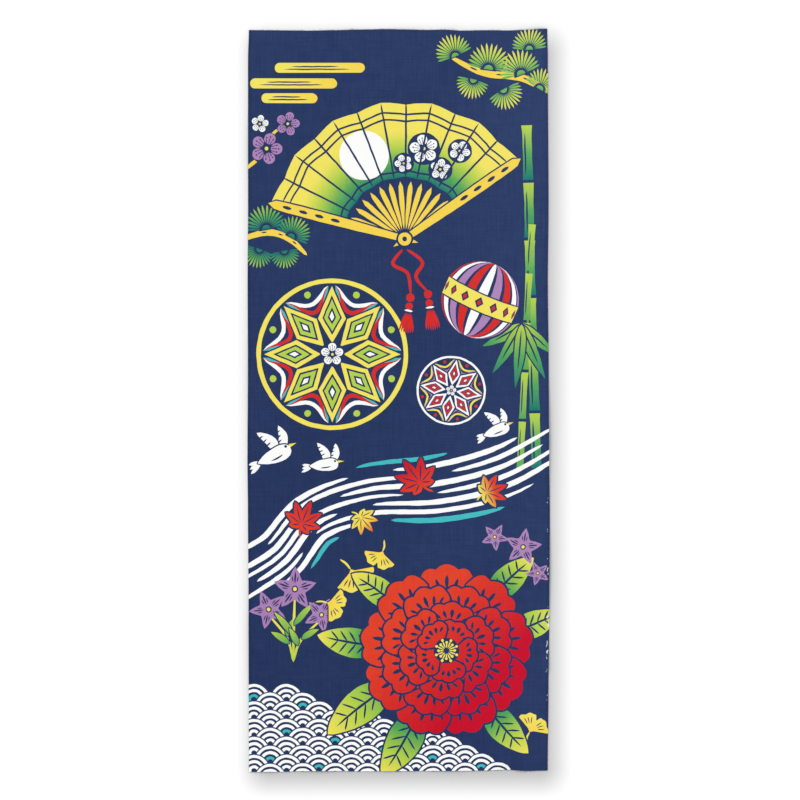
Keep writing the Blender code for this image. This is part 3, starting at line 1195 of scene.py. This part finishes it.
# %% Keep only the edges that show
def parting_edges(triangles, holder, cuts):
    """The edges whose two triangles look different, and the edges of the cloth itself."""
    looks = [(one.dyes, one.fade.tobytes() if len(one.dyes) > 1 else b"") for one in cuts]
    looks.append((("navy",), b""))
    numbers = {look: number for number, look in enumerate(dict.fromkeys(looks))}
    look_of = np.array([numbers[look] for look in looks])[holder]
    edges = np.sort(np.vstack([triangles[:, [0, 1]], triangles[:, [1, 2]], triangles[:, [2, 0]]]), axis=1)
    owners = np.tile(look_of, 3)
    order = np.lexsort(edges.T)
    edges, owners = edges[order], owners[order]
    same = (edges[1:] == edges[:-1]).all(axis=1)
    parting = same & (owners[1:] != owners[:-1])
    lonely = ~(np.append(same, False) | np.insert(same, 0, False))
    return np.vstack([edges[:-1][parting], edges[lonely]])


kept, seen_links = np.unique(parting_edges(all_triangles, holder, cuts), return_inverse=True)
seen_points = np.vstack([all_points[kept], grid_points()])
flat_points, flat_triangles = triangulate(seen_points, seen_links.reshape(-1, 2))
print("with the edges that show and the grid:", len(flat_triangles), "triangles")

# %% Dye the corners
def dye_corners(flat, triangles, holder, cuts):
    """The dye at each triangle's corners: its holder's dyes, read by how far along the fade they lie."""
    colours = np.tile(DYES["navy"], (len(triangles), 3, 1))
    for number in np.unique(holder[holder >= 0]):
        one = cuts[number]
        held = np.flatnonzero(holder == number)
        stops = np.array([DYES[name] for name in one.dyes])
        start, way = one.fade[0], one.fade[1] - one.fade[0]
        share = np.clip((flat[triangles[held]] - start) @ way / (way @ way), 0, 1)
        places = np.linspace(0, 1, len(stops))
        bands = [np.interp(share, places, stops[:, band]) for band in range(3)]
        colours[held] = np.stack(bands, axis=-1)
    return colours


flat_dyes = dye_corners(flat_points, flat_triangles, holders(flat_points, flat_triangles, cuts), cuts)
print("the dyes run from", np.round(flat_dyes.min(), 3), "to", np.round(flat_dyes.max(), 3))

# %% [markdown]
# ## The sheet
#
# Real cloth of this kind is under half a millimetre thick. The upper side is the triangulated design laid
# on the ripples; the underside is the same faces turned over, because the dye goes right through; and a
# narrow wall of faces round the rim closes the sheet. A Solidify modifier would give the thickness, but
# not each side its own place in the map that the finish is baked on.

# %% Find the rim
def rim_loop(triangles):
    """The rim's points in order, walked along the edges that only one triangle has."""
    edges = np.vstack([triangles[:, [0, 1]], triangles[:, [1, 2]], triangles[:, [2, 0]]])
    _, first, counts = np.unique(np.sort(edges, axis=1), axis=0, return_index=True, return_counts=True)
    following = dict(edges[first[counts == 1]].tolist())
    loop = [min(following)]
    while following[loop[-1]] != loop[0]:
        loop.append(following[loop[-1]])
    return np.array(loop)


rim = rim_loop(flat_triangles)
print("the rim has", len(rim), "points")

# %% Make meshes from arrays
SHARP_ANGLE = 0.9


def set_uv(mesh, name, values):
    """A UV map from one pair of numbers for each corner of each face."""
    flat_values = np.ascontiguousarray(values, dtype=np.float32).ravel()
    mesh.uv_layers.new(name=name).uv.foreach_set("vector", flat_values)


def set_corners(mesh, name, values):
    """A three-number attribute for each corner of each face."""
    flat_values = np.ascontiguousarray(values, dtype=np.float32).ravel()
    mesh.attributes.new(name, "FLOAT_VECTOR", "CORNER").data.foreach_set("vector", flat_values)


def make_mesh(name, points, faces, material):
    """A mesh object of triangles, shaded smooth but for its sharp edges."""
    mesh = bpy.data.meshes.new(name)
    mesh.vertices.add(len(points))
    mesh.vertices.foreach_set("co", points.astype(np.float32).ravel())
    mesh.loops.add(faces.size)
    mesh.loops.foreach_set("vertex_index", faces.astype(np.int32).ravel())
    mesh.polygons.add(len(faces))
    mesh.polygons.foreach_set("loop_start", np.arange(0, faces.size, 3, dtype=np.int32))
    mesh.update(calc_edges=True)
    mesh.shade_smooth()
    mesh.set_sharp_from_angle(angle=SHARP_ANGLE)
    mesh.materials.append(material)
    made = bpy.data.objects.new(name, mesh)
    bpy.context.scene.collection.objects.link(made)
    return made


print("edges sharper than", round(float(np.degrees(SHARP_ANGLE))), "degrees stay sharp")

# %% Lay out the map for baking
ISLAND_MARGIN = 0.01
WALL_STRIP = (0.993, 0.998)


def bake_map(place):
    """A flat map without overlaps: upper side left, underside mirrored right, the rim wall above both."""
    half = len(place) // 2
    room = 0.5 - 2 * ISLAND_MARGIN
    across = np.concatenate([place[:half, 0], 1.0 - place[half:, 0]])
    left = ISLAND_MARGIN + room * across + 0.5 * np.repeat([0, 1], half)
    islands = np.stack([left, ISLAND_MARGIN + (1 - 3 * ISLAND_MARGIN) * place[:, 1]], axis=1)
    here = np.arange(len(rim)) / len(rim)
    there = (np.arange(len(rim)) + 1) / len(rim)
    low, high = (np.full(len(rim), edge) for edge in WALL_STRIP)
    strip = np.concatenate([
        np.stack([there, high, here, high, here, low], axis=1).reshape(-1, 2),
        np.stack([there, high, here, low, there, low], axis=1).reshape(-1, 2),
    ])
    return np.vstack([islands, strip])


print("each side of the cloth takes", 0.5 - 2 * ISLAND_MARGIN, "of the map's width")

# %% Build the closed sheet
def signed_volume(points, faces):
    """The volume that the faces close, positive if they face out: a sixth of the sum of triple products."""
    a, b, c = (points[faces[:, k]] for k in range(3))
    return float((a * np.cross(b, c)).sum() / 6)


def make_towel(material):
    """Upper side, underside and rim as one closed mesh, with its dyes and its two UV maps."""
    count = len(flat_points)
    under = laid(flat_points)
    points = np.vstack([under + (0.0, 0.0, CLOTH_THICKNESS), under])
    ahead = np.roll(rim, -1)
    wall = np.vstack([
        np.stack([ahead, rim, rim + count], axis=1),
        np.stack([ahead, rim + count, ahead + count], axis=1),
    ])
    faces = np.vstack([flat_triangles, flat_triangles[:, ::-1] + count, wall])
    towel = make_mesh("towel", points, faces, material)
    print("the closed sheet holds", round(signed_volume(points, faces) * 1e9), "cubic millimetres")
    flat_metres = np.vstack([flat_points, flat_points])[faces.ravel()] / 1000
    set_uv(towel.data, "cloth", flat_metres)
    place = flat_metres[:flat_triangles.size * 2] / (CLOTH_WIDTH, CLOTH_LENGTH) + 0.5
    set_uv(towel.data, "OFBake", bake_map(place))
    wall_dyes = np.full((len(wall), 3, 3), DYES["navy"])
    set_corners(towel.data, "dye", np.vstack([flat_dyes, flat_dyes[:, ::-1], wall_dyes]))
    return towel


wanted = CLOTH_WIDTH * CLOTH_LENGTH * CLOTH_THICKNESS * 1e9
print("a plain sheet of this size would hold", round(wanted), "cubic millimetres")

# %% [markdown]
# ## Dyed cotton
#
# Plain weave is a chequer of small bumps, one for each crossing of a warp yarn over or under a weft yarn.
# There are nearly a million crossings, far too many to model, so crossed sine waves stand for them, and
# the colour between the yarns is darkened as painted shade. The yarns swell and thin as they run, so the
# dye takes in faint streaks both ways, and the vat leaves broad cloudy patches. Each layer of dye takes
# the same share of the light again, so the cloth's colour is the dye's colour to the power of its depth.
# That is why the streaks show in the navy and hardly at all in the white. The selvedges are packed
# tighter and take a little more dye, and their darkening also holds painted shade at the edge; at one of
# them a few specks took none. All of it is worked out from the cloth's own UV map, which is in metres on
# the flat cloth.

# %% Weave the bumps
YARN_PITCH = 0.00058


def weave_bumps(x, y, wander):
    """A chequer of round bumps: where the yarns' sine waves agree in sign, the warp lies over the weft."""
    across = ((x + wander) * (np.pi / YARN_PITCH)).sine()
    along = ((y - wander) * (np.pi / YARN_PITCH)).sine()
    over = (across * along).above(0.0)
    both = abs(across) * abs(along) * 0.4
    return over * (abs(across) * 0.6 + both) + (1.0 - over) * (abs(along) * 0.6 + both)


print("the cloth has", round(0.01 / YARN_PITCH), "yarns to the centimetre each way")

# %% Vary the depth of the dye, with painted light and shade
# From the whole vat down to the fibres. Where stretch is small along one way, the lumps are drawn out that
# way, as a thick or thin yarn draws them.
Layer = namedtuple("Layer", "lumps_per_metre stretch detail share")
LAYERS = {
    "vat": Layer(7.0, (1.0, 1.0, 1.0), 3.0, 0.09),
    "patches": Layer(80.0, (1.0, 1.0, 1.0), 4.0, 0.12),
    "warp streaks": Layer(700.0, (1.0, 0.03, 1.0), 2.0, 0.16),
    "weft streaks": Layer(700.0, (0.03, 1.0, 1.0), 2.0, 0.12),
    "fibres": Layer(900.0, (1.0, 1.0, 1.0), 2.0, 0.18),
}
# Painted light: the upper right is painted paler than the lower left, as a sheen would lighten it; these
# are how much depth is lost in each metre. The depth also falls off as the square of the way from the
# middle to the sides.
PAINTED_LIGHT_TO_THE_RIGHT = 0.17
PAINTED_LIGHT_UPWARDS = 0.09
PALER_AT_THE_SIDES = 0.9
# How much deeper the selvedge is, partly as denser dye and partly as painted shade at the edge, and how far
# in from the edge that starts and stops fading.
SELVEDGE_DYE_AND_EDGE_SHADE = 0.05
SELVEDGE_FADE = (0.0015, 0.0050)


def cloudy(cloth, scale, seed, stretch=(1.0, 1.0, 1.0), detail=2.0):
    """Noise from -0.5 to 0.5 in lumps about 1/scale metres across, drawn out where stretch is small."""
    scaled = cloth.node("ShaderNodeVectorMath", {"operation": "MULTIPLY"}, {0: cloth, 1: stretch})
    moved = cloth.node("ShaderNodeVectorMath", {"operation": "ADD"}, {0: scaled, 1: (seed, seed, seed)})
    sockets = {"Vector": moved, "Scale": scale, "Detail": detail}
    return cloth.node("ShaderNodeTexNoise", None, sockets) - 0.5


def dye_depth_and_painted_light(x, y, noise):
    """The depth of the dye, about 1: a slope of painted light, a fall-off to the sides, the layers of
    noise, and a selvedge that is partly denser dye and partly painted shade.
    """
    # Painted light: the slope makes the upper right paler, as a sheen would.
    depth = 1.0 - x * PAINTED_LIGHT_TO_THE_RIGHT - y * PAINTED_LIGHT_UPWARDS - x * x * PALER_AT_THE_SIDES
    for name, layer in LAYERS.items():
        depth = depth + noise[name] * layer.share
    # Partly painted shade: the selvedge is darkened as denser dye and as shade at the edge.
    selvedge = 1.0 - (CLOTH_WIDTH / 2 - abs(x)).ease(*SELVEDGE_FADE)
    return depth + selvedge * SELVEDGE_DYE_AND_EDGE_SHADE


reach = sum(layer.share for layer in LAYERS.values()) / 2
print("the layers could shift the depth by", round(reach, 3), "at the very most")

# %% Leave specks undyed
# Where they are, in metres: how far in from the right edge they begin, and the stretch of the selvedge that
# has them, with how it fades at its ends.
SPECKS_INNER, SPECKS_OUTER = 0.0042, 0.0026
SPECKS_LOW, SPECKS_HIGH, SPECKS_FADE = -0.355, -0.115, 0.015
# The fine noise makes the specks, and the coarse one gathers them; they show where the sum is high.
SPECKS_FINE, SPECKS_COARSE = 420.0, 40.0
SPECKS_FROM, SPECKS_FULL = 0.13, 0.20


def undyed_specks(cloth, x, y):
    """1 in the specks and 0 elsewhere: steps on two noises, kept to a band and a run of the selvedge."""
    in_band = x.ease(CLOTH_WIDTH / 2 - SPECKS_INNER, CLOTH_WIDTH / 2 - SPECKS_OUTER)
    in_run = y.ease(SPECKS_LOW - SPECKS_FADE, SPECKS_LOW + SPECKS_FADE)
    in_run = in_run * (1.0 - y.ease(SPECKS_HIGH - SPECKS_FADE, SPECKS_HIGH + SPECKS_FADE))
    clusters = cloudy(cloth, SPECKS_FINE, 9.0, (1.0, 0.45, 1.0)) + cloudy(cloth, SPECKS_COARSE, 10.0)
    return clusters.ease(SPECKS_FROM, SPECKS_FULL) * in_band * in_run


print("specks may lie along", round(SPECKS_HIGH - SPECKS_LOW, 3), "m of the right selvedge")

# %% Make the cotton
YARN_WANDER = 0.0024
WANDER_LUMPS = 60.0
WEAVE_RELIEF = 0.00009
WEAVE_SHADE = 0.12
WHITE_OF_CLOTH = (0.84, 0.86, 0.86, 1.0)
SPECK_STRENGTH = 0.75
COTTON_ROUGHNESS = 0.94
COTTON_SHINE = 0.10
# How high each kind of streak or patch stands, in heights of the weave.
RELIEF = {"warp streaks": 1.6, "weft streaks": 1.3, "patches": 2.0}
BUMP_STRENGTH = 0.8
FUZZ, FUZZ_ROUGHNESS = 0.04, 0.6


def dyed_cotton():
    """Cotton whose colour is the dye attribute to the power of its depth, with painted shade between the
    yarns.
    """
    material, shader, wire = new_material("dyed_cotton")
    cloth = wire.node("ShaderNodeUVMap", {"uv_map": "cloth"})
    x, y, _ = cloth.split()
    bumps = weave_bumps(x, y, cloudy(cloth, WANDER_LUMPS, 3.0) * YARN_WANDER)
    noise = {
        name: cloudy(cloth, layer.lumps_per_metre, float(seed), layer.stretch, layer.detail)
        for seed, (name, layer) in enumerate(LAYERS.items(), start=4)
    }
    dye = wire.node("ShaderNodeAttribute", {"attribute_name": "dye"}, output=1)
    powers = {0: dye, 1: dye_depth_and_painted_light(x, y, noise)}
    taken = wire.node("ShaderNodeVectorMath", {"operation": "POWER"}, powers)
    # Painted shade: the colour is darkened where the weave's bumps are low, between the yarns.
    lit = {0: taken, "Scale": 1.0 - WEAVE_SHADE / 2 + bumps * WEAVE_SHADE}
    weave_shaded = wire.node("ShaderNodeVectorMath", {"operation": "SCALE"}, lit)
    specks = undyed_specks(cloth, x, y) * SPECK_STRENGTH
    wire.blend(specks, weave_shaded, WHITE_OF_CLOTH).into(shader.inputs["Base Color"])
    (COTTON_ROUGHNESS - bumps * 0.08 + noise["fibres"] * 0.06).into(shader.inputs["Roughness"])
    relief = bumps
    for name, height in RELIEF.items():
        relief = relief + noise[name] * height
    sockets = {"Strength": BUMP_STRENGTH, "Distance": WEAVE_RELIEF, "Height": relief}
    wire.node("ShaderNodeBump", None, sockets).into(shader.inputs["Normal"])
    shader.inputs["Specular IOR Level"].default_value = COTTON_SHINE
    shader.inputs["Sheen Weight"].default_value = FUZZ
    shader.inputs["Sheen Roughness"].default_value = FUZZ_ROUGHNESS
    return material


cotton = dyed_cotton()
towel = make_towel(cotton)
print("the sheet has", len(towel.data.polygons), "faces")

# %% [markdown]
# ## The cut ends
#
# Cloth that is cut and not hemmed lets go of its last weft yarns, so the warp yarns stand out as a short
# uneven fringe. Each is a thin tapering prism carried along a short bent line, and all of them are worked
# out together as one array. Hair curves would do for a picture, but prisms are a mesh as the sheet is.

# %% Run the threads out
FRAY_PITCH = 0.00060
FRAY_LENGTH = 0.0007
FRAY_RADIUS = 0.00013
FRAY_SIDES, FRAY_RINGS = 3, 4
FRAY_SEED = 11
# As shares: how much of the width has threads, of the pitch each strays, of its length it starts inside
# the cloth, leans sideways and thins.
FRAY_SPAN = 0.997
FRAY_STRAY = 0.25
FRAY_ROOT = 0.4
FRAY_LEAN = 0.45
FRAY_TAPER = 0.7


def thread_rings():
    """Threads as rings round bent lines: out from the edge, sideways as the square of the way, tapering."""
    rng = np.random.default_rng(FRAY_SEED)
    per_end = int(CLOTH_WIDTH / FRAY_PITCH)
    count = per_end * 2
    end = np.repeat([-1.0, 1.0], per_end)
    foot_x = (np.tile((np.arange(per_end) + 0.5) / per_end, 2) - 0.5) * CLOTH_WIDTH * FRAY_SPAN
    foot_x += rng.normal(0.0, FRAY_STRAY * FRAY_PITCH, count)
    foot_x = np.clip(foot_x, -0.499 * CLOTH_WIDTH, 0.499 * CLOTH_WIDTH)
    foot = laid(np.stack([foot_x, end * CLOTH_LENGTH / 2], axis=1) * 1000)
    long = FRAY_LENGTH * rng.gamma(4.0, 0.25, count) * (0.75 + 0.5 * np.sin(foot_x * 90) ** 2)
    lean = rng.normal(0.0, FRAY_LEAN, count) * long
    lift = rng.uniform(0.2, 0.8, count) * CLOTH_THICKNESS
    t = np.linspace(-FRAY_ROOT, 1.0, FRAY_RINGS)[None, :]
    ahead = np.maximum(t, 0.0)
    path = np.stack([
        foot[:, :1] + lean[:, None] * ahead ** 2,
        foot[:, 1:2] + end[:, None] * long[:, None] * t,
        foot[:, 2:] + lift[:, None] * (1.0 - 0.35 * ahead ** 2) + 0.5 * FRAY_RADIUS,
    ], axis=-1)
    around = np.arange(FRAY_SIDES) / FRAY_SIDES * 2 * np.pi + np.pi / 2
    size = FRAY_RADIUS * (1.0 - FRAY_TAPER * ahead ** 2)
    ring = np.zeros((1, FRAY_RINGS, FRAY_SIDES, 3))
    ring[..., 0] = np.cos(around)
    ring[..., 2] = np.sin(around)
    return path[:, :, None, :] + ring * size[:, :, None, None], end


print("each cut end has", int(CLOTH_WIDTH / FRAY_PITCH), "threads")

# %% Close each thread
def prism_triangles():
    """The triangles of one thread: its sides from ring to ring, and its two ends."""
    ring_now = np.arange(FRAY_RINGS - 1)[:, None] * FRAY_SIDES
    here = ring_now + np.arange(FRAY_SIDES)
    beside = ring_now + (np.arange(FRAY_SIDES) + 1) % FRAY_SIDES
    sides = np.concatenate([
        np.stack([here, beside, beside + FRAY_SIDES], axis=-1).reshape(-1, 3),
        np.stack([here, beside + FRAY_SIDES, here + FRAY_SIDES], axis=-1).reshape(-1, 3),
    ])
    tip = (FRAY_RINGS - 1) * FRAY_SIDES
    caps = np.array([(0, 2, 1), (tip, tip + 1, tip + 2)])
    return np.vstack([sides, caps])


print("one thread takes", len(prism_triangles()), "triangles")

# %% Fray the cut ends
def frayed_threads(material):
    """Every thread of both cut ends as one mesh."""
    rings, end = thread_rings()
    points = rings.reshape(-1, 3)
    one = prism_triangles()
    # At the upper end the prisms run the other way, so their faces are turned to point out again.
    turned_faces = np.where((end > 0)[:, None, None], one[None, :, ::-1], one[None])
    first_points = np.arange(len(end)) * FRAY_RINGS * FRAY_SIDES
    faces = (turned_faces + first_points[:, None, None]).reshape(-1, 3)
    threads = make_mesh("cut_end_threads", points, faces, material)
    set_uv(threads.data, "cloth", points[faces.ravel()][:, :2])
    set_corners(threads.data, "dye", np.full((faces.size, 3), DYES["navy"]))
    return threads


threads = frayed_threads(cotton)
print("the fringe has", len(threads.data.polygons), "faces")

# %% [markdown]
# ## Hand the pieces over
#
# The sheet and its threads ride on the one rigid body and stand in for its plain solid.

for piece in (towel, threads):
    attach(piece, "root")
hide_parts("towel_cloth")
